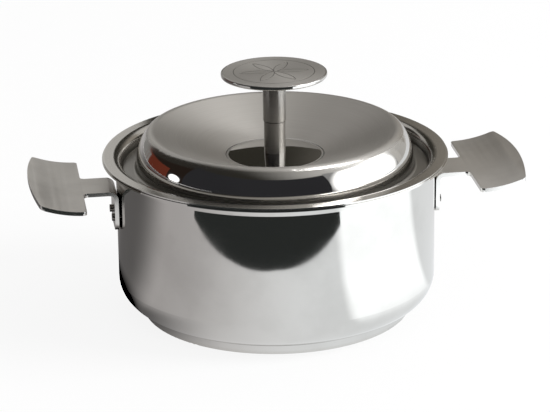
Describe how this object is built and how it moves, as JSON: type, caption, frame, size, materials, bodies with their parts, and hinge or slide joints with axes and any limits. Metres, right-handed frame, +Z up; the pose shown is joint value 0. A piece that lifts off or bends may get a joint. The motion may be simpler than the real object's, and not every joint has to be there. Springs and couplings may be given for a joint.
{
  "type": "bain-marie pot",
  "caption": "Polished steel bain-marie: straight-sided pot with riveted plate handles, a hanging insert pan and a dished lid with a disc knob on a post.",
  "frame": {"origin": "centre of the base's underside, on the table", "axes": "+X from the left handle to the right handle, +Z up along the pot's axis"},
  "size_m": [0.313, 0.2186, 0.1561],
  "materials": {
    "polished_steel": "mirror polished",
    "satin_steel": "satin",
    "pan_steel": "satin",
    "lid_steel": "mirror polished",
    "post_steel": "mirror polished",
    "disc_steel": "satin",
    "fastener_steel": "satin",
    "core_aluminium": "rolled"
  },
  "bodies": {
    "pot": {"pot_shell": "polished_steel", "base_core": "core_aluminium", "base_cap": "polished_steel", "left_handle": "satin_steel", "right_handle": "satin_steel", "left_handle_rivets": "fastener_steel", "right_handle_rivets": "fastener_steel"},
    "insert": {"insert_pan": "pan_steel"},
    "lid": {"lid_shell": "lid_steel", "lower_post": "post_steel", "upper_post": "post_steel", "knob_disc": "disc_steel", "lid_screw": "fastener_steel", "flat_washer": "fastener_steel", "lock_washer": "fastener_steel"}
  },
  "joints": [
    {"name": "insert_lift", "type": "slide", "parent": "pot", "child": "insert", "axis": [0, 0, 1], "range_m": [0, 0.12]},
    {"name": "lid_lift", "type": "slide", "parent": "insert", "child": "lid", "axis": [0, 0, 1], "range_m": [0, 0.1]}
  ]
}
